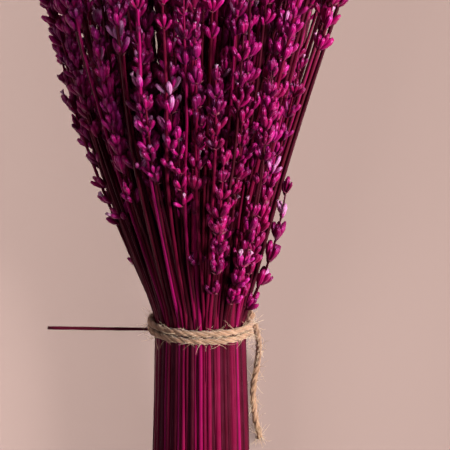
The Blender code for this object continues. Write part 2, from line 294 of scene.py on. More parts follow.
def stems_at_the_tie():
    """One entry for each stem, ring by ring: where it crosses the tie, and where its head is."""
    draw = random.Random(SEED)
    stems = []
    for ring in range(1, RINGS + 1):
        count = STEMS_PER_SPRAY * (2 * ring - 1)
        share = (ring - 0.5) / (RINGS - 0.5)
        for i in range(count):
            length = SPIKE_LENGTH + draw.uniform(-SPIKE_VARIES, SPIKE_VARIES)
            pick = draw.random()
            tier = next(t for t, limit in enumerate(TIER_SHARES) if pick <= limit)
            tier = min(tier, max(0, ring - RINGS_OF_TALL_HEADS))
            tip = DOME_HEIGHT - DOME_DROP * share**2 - TIER_DROPS[tier] - draw.uniform(0, TIER_VARIES)
            outer = ring == RINGS
            if outer and i in SET_HEADS:
                tip = SET_HEADS[i] + length
            stems.append({
                "ring": ring,
                "angle": 2 * math.pi * (i + RING_TURN * ring) / count,
                "share": share,
                "foot": tip - length,
                "tip": tip,
                "lone": LONE_WHORLS.get(i) if outer else None,
                "cut": CUT_HEIGHT + draw.uniform(-CUT_VARIES, CUT_VARIES),
            })
    return stems


def reach_at(stem, height):
    """How far a stem or its head reaches from its centreline at this height, or 0 past its tip."""
    if height > stem["tip"]:
        return 0.0
    if stem["lone"] and 0 < height - stem["lone"] < LONE_LENGTH:
        return SPIKE_REACH * LONE_SHARE
    if height < stem["foot"]:
        return STEM_WIDTH * STEM_CORNER
    share = (height - stem["foot"]) / (stem["tip"] - stem["foot"])
    return SPIKE_REACH * spike_profile(share)


def spread_heads(stems):
    """Centrelines above the tie: fanned out, then pushed apart level by level until heads are clear."""
    heights = np.arange(LEVELS) * LEVEL_STEP
    home = np.array([
        [
            (
                TIE_RADIUS * s["share"] * fan(h) * math.cos(s["angle"]) + sway(h),
                TIE_RADIUS * s["share"] * fan(h) * math.sin(s["angle"]) * FLATTEN,
            )
            for h in heights
        ]
        for s in stems
    ])
    nearby = (-LEVEL_STEP / 3, 0, LEVEL_STEP / 3)
    reach = np.array([[max(reach_at(s, h + step) for step in nearby) for h in heights] for s in stems])
    lowest = np.maximum(reach * PRESSED, STEM_WIDTH)
    floor = np.array([[above_for(z, h) for z, h in zip(row, heights)] for row in lowest])
    lines = home.copy()
    for _ in range(ROUNDS):
        for k in range(1, LEVELS):
            live = np.nonzero(reach[:, k])[0]
            at = lines[live, k]
            apart = at[:, None] - at[None]
            far = np.linalg.norm(apart, axis=2) + np.eye(len(live))
            need = reach[live, k][:, None] + reach[live, k][None] + CLEARANCE
            short = np.clip(need - far, 0, None) * (1 - np.eye(len(live)))
            lines[live, k] += PUSH_APART * (apart / far[..., None] * short[..., None]).sum(axis=1)
        bend = lines[:, :-2] - 2 * lines[:, 1:-1] + lines[:, 2:]
        lines[:, 1:-1] += STRAIGHTEN * bend
        lines[:, -1] = 2 * lines[:, -2] - lines[:, -3]
        lines[:, 1:] += PULL_HOME * (home[:, 1:] - lines[:, 1:])
        lines[:, 1:, 1] = np.maximum(lines[:, 1:, 1], floor[:, 1:])
    return heights, lines


def rests(stem):
    """True for a stem whose cut end lies on the surface."""
    above = TIE_RADIUS * stem["share"] * fan(CUT_HEIGHT) * math.sin(stem["angle"]) * FLATTEN
    return above < above_for(STEM_WIDTH / 2, CUT_HEIGHT)


stems = stems_at_the_tie()
level_heights, level_lines = spread_heads(stems)


def centreline(index):
    """The centreline of one stem, as a function that gives its point at a height."""
    stem, line = stems[index], level_lines[index]

    def centre(height):
        if height >= 0:
            across = np.interp(height, level_heights, line[:, 0])
            above = np.interp(height, level_heights, line[:, 1])
        else:
            radius = TIE_RADIUS * stem["share"] * fan(height)
            across = radius * math.cos(stem["angle"])
            above = radius * math.sin(stem["angle"]) * FLATTEN
            if height <= REST_HEIGHT and rests(stem):
                above = above_for(STEM_WIDTH / 2, height)
        return place(height, float(across), float(above))

    return centre


# The stems are square and dry, with four raised corners, dyed through from deep plum to wine red. The dye
# lies thinner in patches, which are a dusty lilac, and each cut end shows its paler pith.
STEM_SIDES = 8
# The middles of the sides and the corners, as shares of the stem's width.
STEM_RADII = (0.45, 0.60)
STEM_SECTION = []
for i in range(STEM_SIDES):
    angle, radius = 2 * math.pi * i / STEM_SIDES, STEM_RADII[i % 2]
    STEM_SECTION.append((math.cos(angle) * radius, math.sin(angle) * radius))
# How far apart the points of a stem's path are, and the fewest stretches between them.
STEM_STEP = 0.0115
STEM_FEWEST = 8
STEM_WOBBLE = 0.00016
STEM_UNEVEN = 0.05
# How far the waves of its bends and of its thickness move on from point to point, in radians.
WOBBLE_STEP, UNEVEN_STEP = 0.9, 1.7
PHASES = (0, 6)
# The most that a stem twists, in radians to a metre.
STEM_TWIST = 4.0
# What share of its width a stem still has at its tip, through the spike.
SPIKE_STEM = 0.55
# How much slimmer a stem grows from this share of its length up.
STEM_TAPER = 0.7
TAPER_FROM = 0.42
STEM_DYE = (
    (0.0, (0.026, 0.0015, 0.004, 1)),
    (0.35, (0.068, 0.0015, 0.009, 1)),
    (0.65, (0.155, 0.0015, 0.029, 1)),
    (1.0, (0.360, 0.0035, 0.120, 1)),
)
# A rod whose start leans less than this from upright takes its first side from the x axis.
NEARLY_UPRIGHT = 0.1
DUSTY_LILAC = (0.20, 0.032, 0.075, 1)
PITH_DARK, PITH_PALE = (0.16, 0.02, 0.05, 1), (0.55, 0.30, 0.26, 1)
# The order of a sprig's finishes in its piece.
STEM_SLOT, PITH_SLOT, CALYX_SLOT, PETAL_SLOT, BRACT_SLOT = range(5)

stem_finish = Finish("Dyed dry stem", roughness=0.42)
stem_finish.shader.inputs["Specular IOR Level"].default_value = 0.25
stem_finish.shader.inputs["Specular Tint"].default_value = (1.0, 0.15, 0.40, 1)
stem_tone = stem_finish.reading("tone")
stem_skin = stem_finish.reading("skin", "Vector")
streaks = stem_finish.noise(9.0, detail=4.0, stretch=(1.2, 1.2, 0.12), of=stem_skin)
blotches = stem_finish.noise(130, detail=2.0)
dyed = (stem_tone + streaks * 0.5 - 0.25).ramp(*STEM_DYE)
dusty = (blotches * streaks * 1.6 - 0.30) * 0.3
stem_finish.colour(dusty.blend(dyed, DUSTY_LILAC))
stem_finish.bump(streaks, depth=0.00012)
pith_finish = Finish("Cut pith", roughness=0.8)
pith_finish.colour(pith_finish.noise(1500, detail=2.0).blend(PITH_DARK, PITH_PALE))


class Growth:
    """Gathers the many small shapes of one piece, each with its tone and its skin reading."""

    def __init__(self):
        self.points = []
        self.skin = []
        self.tone = []
        self.faces = []
        self.slots = []
        self.count = 0

    def add(self, points, skin, faces, tone=0.5, slot=0):
        points = np.asarray(points, float)
        self.points.append(points)
        self.skin.append(np.asarray(skin, float))
        self.tone.append(np.full(len(points), tone))
        self.faces.extend(tuple(self.count + i for i in face) for face in faces)
        self.slots.extend([slot] * len(faces))
        self.count += len(points)

    def build(self, name, finishes, lowest=0.0):
        """One object of all the shapes, with no point lower than lowest."""
        points = np.concatenate(self.points)
        points[:, 2] = np.maximum(points[:, 2], lowest)
        mesh = bpy.data.meshes.new(name)
        mesh.from_pydata(points.tolist(), [], self.faces)
        for finish in finishes:
            mesh.materials.append(finish.material)
        mesh.polygons.foreach_set("material_index", self.slots)
        skin = mesh.attributes.new("skin", "FLOAT_VECTOR", "POINT")
        skin.data.foreach_set("vector", np.concatenate(self.skin).ravel())
        tone = mesh.attributes.new("tone", "FLOAT", "POINT")
        tone.data.foreach_set("value", np.concatenate(self.tone))
        mesh.shade_smooth()
        mesh.update()
        piece = bpy.data.objects.new(name, mesh)
        scene.collection.objects.link(piece)
        return piece


def lengths_along(path):
    """How far along a path each of its points is."""
    return np.concatenate([[0], np.cumsum(np.linalg.norm(np.diff(path, axis=0), axis=1))])


def draw_along(path, section, widths, twist=0.0):
    """A rod along a path: its section at each point, as wide as widths says there, and turned by twist.

    Returns the points, their skin readings, which are the way round the rod and the distance along it in
    centimetres, the faces between the sections, and the faces of the two ends."""
    path = np.asarray([tuple(p) for p in path], float)
    section = np.asarray(section, float)
    sides = len(section)
    run = np.gradient(path, axis=0)
    run /= np.linalg.norm(run, axis=1)[:, None]
    side = np.cross((0, 0, 1), run[0])
    if np.linalg.norm(side) < NEARLY_UPRIGHT:
        side = np.cross((1, 0, 0), run[0])
    lengths = lengths_along(path)
    points = np.empty((len(path), sides, 3))
    skin = np.empty((len(path), sides, 3))
    angles = np.arctan2(section[:, 1], section[:, 0])
    for i in range(len(path)):
        side = side - run[i] * side.dot(run[i])
        side /= np.linalg.norm(side)
        up = np.cross(run[i], side)
        turn = twist * lengths[i]
        x = section[:, 0] * math.cos(turn) - section[:, 1] * math.sin(turn)
        y = section[:, 0] * math.sin(turn) + section[:, 1] * math.cos(turn)
        points[i] = path[i] + widths[i] * (x[:, None] * side + y[:, None] * up)
        skin[i, :, 0] = np.cos(angles)
        skin[i, :, 1] = np.sin(angles)
        skin[i, :, 2] = lengths[i] * 100
    faces = []
    for i in range(len(path) - 1):
        for j in range(sides):
            k = (j + 1) % sides
            faces.append((i * sides + j, i * sides + k, (i + 1) * sides + k, (i + 1) * sides + j))
    ends = [tuple(range(sides))[::-1], tuple((len(path) - 1) * sides + j for j in range(sides))]
    return points.reshape(-1, 3), skin.reshape(-1, 3), faces, ends


def grow_stem(growth, path, width, tone, foot_share, draw, taper=STEM_TAPER):
    """A stem along its path, with small bends in it, slimmer where it carries the spike."""
    path = [Vector(p) for p in path]
    wobble = Vector((draw.uniform(-1, 1), 0, draw.uniform(-1, 1))) * STEM_WOBBLE
    phase = draw.uniform(*PHASES)
    widths = []
    for i, point in enumerate(path):
        share = i / (len(path) - 1)
        path[i] = point + wobble * math.sin(phase + WOBBLE_STEP * i)
        past = max(0.0, share - foot_share) / (1 - foot_share)
        slim = (1 - (1 - SPIKE_STEM) * past) * (1 - taper * max(0.0, share - TAPER_FROM))
        widths.append(width * slim * (1 + STEM_UNEVEN * math.sin(phase * 2 + UNEVEN_STEP * i)))
    twist = draw.uniform(-STEM_TWIST, STEM_TWIST)
    points, skin, faces, ends = draw_along(path, STEM_SECTION, widths, twist)
    growth.add(points, skin, faces + ends[1:], tone, STEM_SLOT)
    growth.add(points[:STEM_SIDES], skin[:STEM_SIDES], ends[:1], tone, PITH_SLOT)


# A calyx is the small ribbed cup that holds one flower: a plump pointed oval on a short stalk, six or so to
# a whorl. It is modelled once, standing on its stalk, from a ring drawn up and out and in again to its mouth.
# The calyces are dyed magenta and keep the dye unevenly, dark where it pooled, and each runs from darker at
# its foot to lighter lilac at its mouth.
CALYX_SIDES = 6
# The heights and radii of its rings, as shares of its length. The last one sinks into the mouth.
CALYX_RINGS = (
    (0.00, 0.045), (0.14, 0.095), (0.40, 0.165), (0.72, 0.180), (0.96, 0.090), (0.93, 0.0315),
)
CALYX_CURL = 0.13
CALYX_LENGTH = 0.0077
CALYX_RIBS = 9.0
CALYX_DYE = (
    (0.0, (0.055, 0.0010, 0.012, 1)),
    (0.35, (0.155, 0.0008, 0.035, 1)),
    (0.65, (0.410, 0.0010, 0.116, 1)),
    (0.88, (0.560, 0.0200, 0.290, 1)),
    (1.0, (0.600, 0.2400, 0.460, 1)),
)
VIOLET, WINE = (0.24, 0.003, 0.150, 1), (0.34, 0.002, 0.045, 1)
RIB_SHADE = (0.10, 0.001, 0.035, 1)


def draw_up(rings, sides):
    """The points and faces of a small closed cup, made from one ring of edges drawn up through the rings."""
    bpy.ops.object.select_all(action="DESELECT")
    bpy.ops.mesh.primitive_circle_add(vertices=sides, radius=rings[0][1], fill_type="NOTHING")
    cup = bpy.context.active_object
    bpy.ops.object.mode_set(mode="EDIT")
    bpy.ops.mesh.select_all(action="SELECT")
    bpy.ops.transform.translate(value=(0, 0, rings[0][0]))
    for (low, slim), (high, wide) in zip(rings, rings[1:]):
        bpy.ops.mesh.extrude_region_move(TRANSFORM_OT_translate={"value": (0, 0, high - low)})
        bpy.ops.transform.resize(value=(wide / slim, wide / slim, 1))
    bpy.ops.mesh.edge_face_add()
    bpy.ops.mesh.select_all(action="SELECT")
    bpy.ops.mesh.fill_holes(sides=0)
    bpy.ops.mesh.normals_make_consistent(inside=False)
    bpy.ops.object.mode_set(mode="OBJECT")
    points = np.array([v.co[:] for v in cup.data.vertices])
    # Sorted, so that the faces are in the same order in every run.
    faces = sorted(tuple(p.vertices) for p in cup.data.polygons)
    bpy.data.objects.remove(cup)
    return points, faces


calyx_points, calyx_faces = draw_up(CALYX_RINGS, CALYX_SIDES)
calyx_skin = calyx_points.copy()
calyx_skin[:, :2] /= np.linalg.norm(calyx_points[:, :2], axis=1)[:, None]
calyx_points[:, 0] -= CALYX_CURL * calyx_points[:, 2] ** 2

calyx_finish = Finish("Dyed calyx", roughness=0.34, sheen_weight=0.08, sheen_roughness=0.35)
calyx_finish.shader.inputs["Sheen Tint"].default_value = (1.0, 0.25, 0.90, 1)
calyx_finish.shader.inputs["Specular Tint"].default_value = (0.95, 0.35, 1.0, 1)
calyx_tone = calyx_finish.reading("tone")
calyx_reading = calyx_finish.reading("skin", "Vector")
around_x, around_y, up_calyx = (
    calyx_finish.start.node("ShaderNodeSeparateXYZ", {}, {0: calyx_reading}, axis) for axis in "XYZ"
)
around = around_x.maths("ARCTAN2", around_y, around_x) * CALYX_RIBS
ribs = around.maths("SINE", around) * 0.5 + 0.5
pooled = calyx_finish.noise(520)
dye = (calyx_tone * 0.75 + pooled * 0.45 + up_calyx * 0.22 - 0.30).ramp(*CALYX_DYE)
violet = (calyx_finish.noise(28, detail=1.0) * 3.0 - 1.2) * 0.4
wine = (calyx_finish.noise(45, detail=1.0) * 3.0 - 1.3) * 0.5
drifted = wine.blend(violet.blend(dye, VIOLET), WINE)
calyx_finish.colour((ribs * 0.35).blend(drifted, RIB_SHADE))
calyx_finish.bump(ribs * 0.7 + pooled * 0.3, depth=0.00016)

# Some calyces still hold the shrivelled flower: a pale lilac scrap, crumpled out of the mouth. It is modelled
# once too, on the same scale as the calyx, so that it stands in the mouth of whichever one it is copied to.
PETAL_SIDES = 5
PETAL_RINGS = ((0.90, 0.060), (1.06, 0.085), (1.20, 0.150), (1.15, 0.050))
PETAL_DYE = ((0.35, (0.40, 0.08, 0.28, 1)), (0.65, (0.55, 0.28, 0.42, 1)))

petal_points, petal_faces = draw_up(PETAL_RINGS, PETAL_SIDES)
petal_points[:, 0] -= CALYX_CURL * petal_points[:, 2] ** 2
petal_finish = Finish("Shrivelled petal", roughness=0.6, sheen_weight=0.3)
petal_finish.colour(petal_finish.noise(900, detail=2.0).ramp(*PETAL_DYE))

# Under each whorl sit two papery bracts, small brown-red scales that once wrapped the buds. One is a leaf
# shape drawn out from the stem, thickest along its middle, and it is copied to every whorl.
BRACT_LENGTH = 0.0042
BRACT_OUTLINE = ((0.0, 0.0, 0.0), (0.35, 0.30, 0.06), (1.0, 0.0, 0.0), (0.35, -0.30, 0.06))
BRACT_TOP, BRACT_UNDERSIDE = (0.42, 0.0, 0.16), (0.42, 0.0, 0.08)
BRACT_DARK, BRACT_RED = (0.05, 0.004, 0.012, 1), (0.26, 0.03, 0.07, 1)

bract_points = np.array([*BRACT_OUTLINE, BRACT_TOP, BRACT_UNDERSIDE])
bract_faces = [(1, 0, 4), (2, 1, 4), (3, 2, 4), (0, 3, 4), (0, 1, 5), (1, 2, 5), (2, 3, 5), (3, 0, 5)]
bract_finish = Finish("Papery bract", roughness=0.7)
bract_finish.colour(bract_finish.noise(700, detail=2.0).blend(BRACT_DARK, BRACT_RED))

# A sprig is one stem with its spike: whorls of five to seven calyces that stand up and out round it, the
# smallest at its tip. A few calyces, and now and then a whole whorl, have lost their dye and dried pale. In
# the few front heads that are named here by their stems' numbers, more calyces are made pale as a painted
# highlight.
PALE_SHARE = 0.008
FADED_WHORLS = 0.015
PAINTED_HIGHLIGHT_HEADS = {82: 0.30, 83: 0.40, 84: 0.40}
PALE_TONES = (1.00, 1.50)
PETAL_SHARE = 0.02
STEM_DARKEST, STEM_PALEST = 0.0, 0.95
HEAD_TONES = (0.15, 0.80)
TONE_VARIES = 0.25
# A calyx's place round the stem and along it, its tilt in degrees, and its size vary by this much.
ROUND_VARIES = 0.22
ALONG_VARIES = 0.0012
TILT_VARIES = 16
LENGTHS = (0.78, 1.14)
GIRTHS = (0.78, 1.02)
CALYX_OUT = 0.0004
# A petal is crumpled by up to these shares of its width, each way.
CRUMPLE_OUT, CRUMPLE_ROUND = 0.25, 0.2
# A bract leaves the stem just under its whorl and points out and up by these shares.
BRACT_BELOW = 0.0005
BRACT_OUT, BRACT_UP = 0.8, 0.5
# Whorls are this far apart, and the top one is this far below the spike's tip.
WHORL_PITCH = (0.0054, 0.0078)
WHORL_VARIES = 0.0004
TOP_WHORL = 0.0060
FEWEST_WHORLS = 3
CALYCES = (5, 7)
FEWEST_CALYCES = 5
# How far the calyces spread from the stem, in degrees, and what share of that the top whorl's do.
SPREAD = (20, 42)
SPREAD_AT_EDGE = (46, 56)
TOP_SPREAD = 0.45
LONE_SPREAD = 45
LONE_FULLNESS = 1.2
# The whorls are as full as the spike is this share of its length higher up.
FULLER_BY = 0.12
# The stem stops this far below the tip, and its direction is taken over this much of it each way.
STEM_STOPS = 0.002
ALONG_STEP = 0.003


def grow_whorl(growth, centre, along, level, reach, count, spread, tone, draw, pale_share):
    """One whorl: calyces standing up and out round the stem, and two bracts under them."""
    side = Vector((0, 0, 1)).cross(along).normalized()
    up = along.cross(side)
    start = draw.uniform(0, 2 * math.pi)
    size = reach / SPIKE_REACH
    faded = draw.random() < FADED_WHORLS
    for i in range(count):
        angle = start + 2 * math.pi * (i + draw.uniform(-ROUND_VARIES, ROUND_VARIES)) / count
        out = side * math.cos(angle) + up * math.sin(angle)
        tilt = math.radians(spread + draw.uniform(-TILT_VARIES, TILT_VARIES))
        run = out * math.sin(tilt) + along * math.cos(tilt)
        across = out * math.cos(tilt) - along * math.sin(tilt)
        length = CALYX_LENGTH * size * draw.uniform(*LENGTHS)
        girth = length * draw.uniform(*GIRTHS)
        turned = np.array([across * girth, run.cross(across) * girth, run * length])
        foot = np.array(centre + out * CALYX_OUT + along * draw.uniform(-ALONG_VARIES, ALONG_VARIES))
        pale = faded or draw.random() < pale_share
        own = draw.uniform(*PALE_TONES) if pale else tone + draw.uniform(-TONE_VARIES, TONE_VARIES)
        growth.add(calyx_points @ turned + foot, calyx_skin, calyx_faces, own, CALYX_SLOT)
        if draw.random() < PETAL_SHARE:
            crumple = (1 + CRUMPLE_OUT * math.sin(7 * angle), 1 - CRUMPLE_ROUND * math.sin(5 * angle), 1)
            growth.add(petal_points * crumple @ turned + foot, petal_points, petal_faces, own, PETAL_SLOT)
    foot = np.array(centre - along * BRACT_BELOW)
    for half in (0, math.pi):
        angle = start + half + level
        out = side * math.cos(angle) + up * math.sin(angle)
        run = out * BRACT_OUT + along * BRACT_UP
        top = along * BRACT_OUT - out * BRACT_UP
        turned = np.array([run, along.cross(out), top]) * BRACT_LENGTH * size
        growth.add(bract_points @ turned + foot, bract_points, bract_faces, tone, BRACT_SLOT)


def grow_sprig(growth, centre, cut, foot, tip, lone, reach, width, spread, draw, pale_share=PALE_SHARE):
    """One natural sprig: a stem with a spike of whorls, and sometimes a lone whorl lower down."""
    count = max(STEM_FEWEST, round((tip - cut) / STEM_STEP))
    path = [centre(cut + (tip - STEM_STOPS - cut) * i / count) for i in range(count + 1)]
    tone = draw.uniform(STEM_DARKEST, STEM_PALEST) ** 2
    grow_stem(growth, path, width, tone, (foot - cut) / (tip - cut), draw)

    def along(height):
        return (centre(height + ALONG_STEP) - centre(height - ALONG_STEP)).normalized()

    head_tone = draw.uniform(*HEAD_TONES)

    def whorl(height, level, fullness, count, spread):
        growing = (centre(height), along(height), level, fullness, count, spread)
        grow_whorl(growth, *growing, head_tone, draw, pale_share)

    if lone is not None:
        whorl(lone, 0, reach * LONE_SHARE * LONE_FULLNESS, FEWEST_CALYCES, LONE_SPREAD)
    pitch = draw.uniform(*WHORL_PITCH)
    whorls = max(FEWEST_WHORLS, round((tip - foot - TOP_WHORL) / pitch))
    for level in range(whorls):
        share = level / (whorls - 1)
        height = foot + (tip - foot - TOP_WHORL) * share + draw.uniform(-WHORL_VARIES, WHORL_VARIES)
        fullness = reach * spike_profile(min(1.0, share + FULLER_BY))
        if level < whorls - 1:
            whorl(height, level, fullness, draw.randint(*CALYCES), spread)
        else:
            whorl(height, level, fullness, FEWEST_CALYCES, spread * TOP_SPREAD)


# The lower end of one stem has snapped and sticks out sideways just below the twine. It is a bare piece of
# stem, bowed a little, that grows on from where its stem goes under the twine.
# The stem of the outer ring that it belongs to, its width, its tip's reach from the bunch's axis, the heights
# of its root and its tip, how far above the axis its tip is, and how far it bows.
STRAY_STEM = 17
STRAY_WIDTH = 0.0013
STRAY_REACH = 0.0630
STRAY_FROM = -0.0075
STRAY_TIP = -0.0060
STRAY_ABOVE = -0.0045
STRAY_BOW = 0.0006
STRAY_POINTS = 14
STRAY_TONE = 0.3
# A share of its length past its tip, so that no spike slims it.
NO_SPIKE = 2.0
snapped = len(stems) - STEMS_PER_SPRAY * (2 * RINGS - 1) + STRAY_STEM


def grow_snapped_end(growth, start, draw):
    """The snapped end, from its start out to the left."""
    far = place(STRAY_TIP, -STRAY_REACH, STRAY_ABOVE)
    path = []
    for i in range(STRAY_POINTS + 1):
        share = i / STRAY_POINTS
        path.append(start.lerp(far, share) + Vector((0, 0, STRAY_BOW * math.sin(math.pi * share))))
    grow_stem(growth, path, STRAY_WIDTH, STRAY_TONE, NO_SPIKE, draw, taper=0.0)


# The bunch has about three times as many sprigs as the solids have stems. The rest are thinner fillers: each
# runs between a stem and its neighbour in the ring, and its head fills the room between theirs. They are few
# and lie inwards at the right edge, where the stems are bare, and some low ones there stand by the tie.
FILLER_WIDTH = 0.78
FILLER_SPIKE = 0.034
FILLER_REACH = 0.0048
FILLER_CUT_VARIES = 0.004
# A filler's tip is drawn between two heights. Each gap has one by the foot of the lower of its two heads, or
# at TIP_LOWEST where that is higher. The outer rings have one more, and so have the inner rings and the upper
# half of the fifth. A gap of the bare edge has one alone.
TIP_BY_HEAD = (-0.006, 0.012)
TIP_LOWEST = (0.085, 0.115)
TIP_OUTER = (0.105, 0.180)
TIP_INNER = (0.150, 0.190)
TIP_BARE_EDGE = (0.150, 0.175)
OUTER_RINGS = 3
INNER_RINGS = (3, 4)
# The most that a filler's tip stands above the lower of the two heads' tips.
TIP_ABOVE_HEADS = 0.05
# Stems of the outer ring: the bare ones, and those with a low filler beside them and its tip's height. A tip
# up to LOW_TIP_LIMIT counts as low.
BARE_EDGE = (30, 31, 32)
LOW_TIPS = {0: 0.046, 1: 0.052, 2: 0.044, 3: 0.058, 4: 0.050}
LOW_TIP_LIMIT = 0.060
# Where between the two stems the first filler starts, and how much further over each next one does.
FILLER_START = 0.30
FILLER_STEP = 0.25
# A filler drifts over by up to DRIFT of the space for each DRIFT_SPAN of height, as far up as DRIFT_TO.
DRIFT = 1.1
DRIFT_SPAN = 0.10
DRIFT_TO = 0.080
# It bows outwards by FILLER_BOW from half of BOW_SPAN up, or by EDGE_BOW at the right edge unless it is low.
FILLER_BOW = 0.0020
EDGE_BOW = -0.0050
BOW_SPAN = 0.14
LEFT_EDGE = math.radians(20)
RIGHT_EDGE = math.radians(36)
SPRAY_SEED = 1000
SPRIG_FINISHES = [stem_finish, pith_finish, calyx_finish, petal_finish, bract_finish]


def filler_tips(stem, after, position, draw):
    """The heights of the tips of the fillers between a stem and the one after it."""
    ring = stem["ring"]
    by_head = min(stem["foot"], after["foot"]) + draw.uniform(*TIP_BY_HEAD)
    tips = [max(by_head, draw.uniform(*TIP_LOWEST))]
    if ring > RINGS - OUTER_RINGS:
        tips.append(draw.uniform(*TIP_OUTER))
    if ring in INNER_RINGS or (ring == RINGS - 1 and math.sin(stem["angle"]) > 0):
        tips.append(draw.uniform(*TIP_INNER))
    if ring == RINGS and position in BARE_EDGE:
        tips = [draw.uniform(*TIP_BARE_EDGE)]
    if ring == RINGS and position in LOW_TIPS:
        tips.append(LOW_TIPS[position])
    return tips


def between(first, second, start, drift, bow):
    """A filler's centreline between those of two stems."""

    def centre(height):
        above_tie = max(0.0, height)
        bowed = bow * math.sin(min(math.pi / 2, math.pi * above_tie / BOW_SPAN))
        over = start + drift * min(above_tie, DRIFT_TO) / DRIFT_SPAN
        return first(height).lerp(second(height), over) + bowed

    return centre


ring_members = {}
for index, stem in enumerate(stems):
    ring_members.setdefault(stem["ring"], []).append(index)

for number in range(len(stems) // STEMS_PER_SPRAY):
    name = f"spray_{number + 1:02d}"
    draw = random.Random(SPRAY_SEED + number)
    growth = Growth()
    first = number * STEMS_PER_SPRAY
    for index in range(first, first + STEMS_PER_SPRAY):
        stem = stems[index]
        members = ring_members[stem["ring"]]
        position = members.index(index)
        next_index = members[(position + 1) % len(members)]
        after = stems[next_index]
        centre = centreline(index)
        at_left = stem["ring"] == RINGS and abs(stem["angle"] - math.pi) < LEFT_EDGE
        at_right = stem["ring"] >= RINGS - 1 and math.cos(stem["angle"]) > math.cos(RIGHT_EDGE)
        spread = draw.uniform(*(SPREAD_AT_EDGE if at_left else SPREAD))
        # The named heads get a larger share of pale calyces, a painted highlight where the lamp catches them.
        grow_sprig(
            growth, centre, stem["cut"], stem["foot"], stem["tip"], stem["lone"],
            SPIKE_REACH, STEM_WIDTH, spread, draw, PAINTED_HIGHLIGHT_HEADS.get(index, PALE_SHARE),
        )
        outward = place(0, math.cos(stem["angle"]), math.sin(stem["angle"])) - place(0, 0, 0)
        for turn, tip in enumerate(filler_tips(stem, after, position, draw)):
            bow = outward * (EDGE_BOW if at_right and tip > LOW_TIP_LIMIT else FILLER_BOW)
            tip = min(tip, min(stem["tip"], after["tip"]) + TIP_ABOVE_HEADS)
            drift = draw.uniform(-DRIFT, DRIFT)
            start = FILLER_START + FILLER_STEP * turn
            cut = stem["cut"] + draw.uniform(0, FILLER_CUT_VARIES)
            grow_sprig(
                growth, between(centre, centreline(next_index), start, drift, bow),
                cut, tip - FILLER_SPIKE, tip, None,
                FILLER_REACH, STEM_WIDTH * FILLER_WIDTH, draw.uniform(*SPREAD), draw,
            )
        if index == snapped:
            grow_snapped_end(growth, centre(STRAY_FROM), draw)
    piece = growth.build(name + "_sprigs", SPRIG_FINISHES)
    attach(piece, "root")
    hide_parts(name)

# The tie is jute twine: three plies laid round each other, wound twice round the stems, knotted at the right
# behind, with one end cut short there. It is straw brown where it isn't worn pale.
TWINE = 0.0028
TWINE_GAP = 0.0008
TURNS = 2
TURN_POINTS = 48
TIE_HEIGHT = -0.0032
TURN_PITCH = 0.0031
KNOT_ANGLE = math.radians(-36)
KNOT_OUT = 0.0026
KNOT_SCALE = 0.00125
KNOT_DEPTH = 0.0014
KNOT_POINTS = 60
KNOT_TWINE = 0.0025
SHORT_END = 0.0042
PLIES = 3
PLY_SIDES = 8
PLY_STEP = 0.0006
LAY_LENGTH = 0.0125
# Shares of the twine's thickness: how far from its middle a ply runs, and the ply's radius.
PLY_OFFSET = 0.195
PLY_RADIUS = 0.30
PLY_TWIST = 200
# A ply swells and slims in two waves: each one's share of the radius, how many waves there are to a turn, and
# how far they are shifted from ply to ply.
PLY_SWELLS = ((0.07, 1.7, 1), (0.05, 4.3, 2))
# A direction that no path of the twine starts along.
ASIDE = (0.02, 0.1, 1)
STRAW = (
    (0.25, (0.10, 0.040, 0.018, 1)),
    (0.50, (0.36, 0.185, 0.100, 1)),
    (0.75, (0.62, 0.370, 0.235, 1)),
)

jute_finish = Finish("Jute", roughness=0.85, sheen_weight=0.3, sheen_roughness=0.5)
jute_skin = jute_finish.reading("skin", "Vector")
fibres = jute_finish.noise(2.4, detail=4.0, stretch=(2.2, 2.2, 0.5), of=jute_skin)
worn = jute_finish.noise(260)
jute_finish.colour((fibres * 0.75 + worn * 0.35 - 0.05).ramp(*STRAW))
jute_finish.bump(fibres, depth=0.0005)


def twine_point(angle, height, out=0.0):
    """A point of the twine's centreline round the tie."""
    clear = STEM_WIDTH / 2 + TWINE_GAP + TWINE / 2 + out
    return place(
        height,
        (TIE_RADIUS + clear) * math.cos(angle),
        (TIE_RADIUS * FLATTEN + clear) * math.sin(angle),
    )


def evenly(path, step):
    """The same path with its points a step apart."""
    path = np.asarray([tuple(p) for p in path], float)
    lengths = lengths_along(path)
    count = max(2, round(lengths[-1] / step))
    at = np.linspace(0, lengths[-1], count + 1)
    return np.stack([np.interp(at, lengths, path[:, i]) for i in range(3)], axis=1)


def lay_twine(growth, path, thickness):
    """Plies of jute twisted round each other along a path."""
    path = evenly(path, PLY_STEP)
    run = np.gradient(path, axis=0)
    run /= np.linalg.norm(run, axis=1)[:, None]
    side = np.cross(ASIDE, run[0])
    sides = []
    for i in range(len(path)):
        side = side - run[i] * side.dot(run[i])
        side = side / np.linalg.norm(side)
        sides.append(side)
    sides = np.array(sides)
    ups = np.cross(run, sides)
    corners = [2 * math.pi * i / PLY_SIDES for i in range(PLY_SIDES)]
    section = [(math.cos(corner), math.sin(corner)) for corner in corners]
    turn = np.arange(len(path)) * PLY_STEP * 2 * math.pi / LAY_LENGTH
    for ply in range(PLIES):
        angle = turn + 2 * math.pi * ply / PLIES
        out = np.cos(angle)[:, None] * sides + np.sin(angle)[:, None] * ups
        uneven = 1 + sum(share * np.sin(turn * often + ply * shift) for share, often, shift in PLY_SWELLS)
        radii = thickness * PLY_RADIUS * uneven
        centre = path + thickness * PLY_OFFSET * out
        points, skin, faces, ends = draw_along(centre, section, radii, PLY_TWIST)
        growth.add(points, skin, faces + ends)


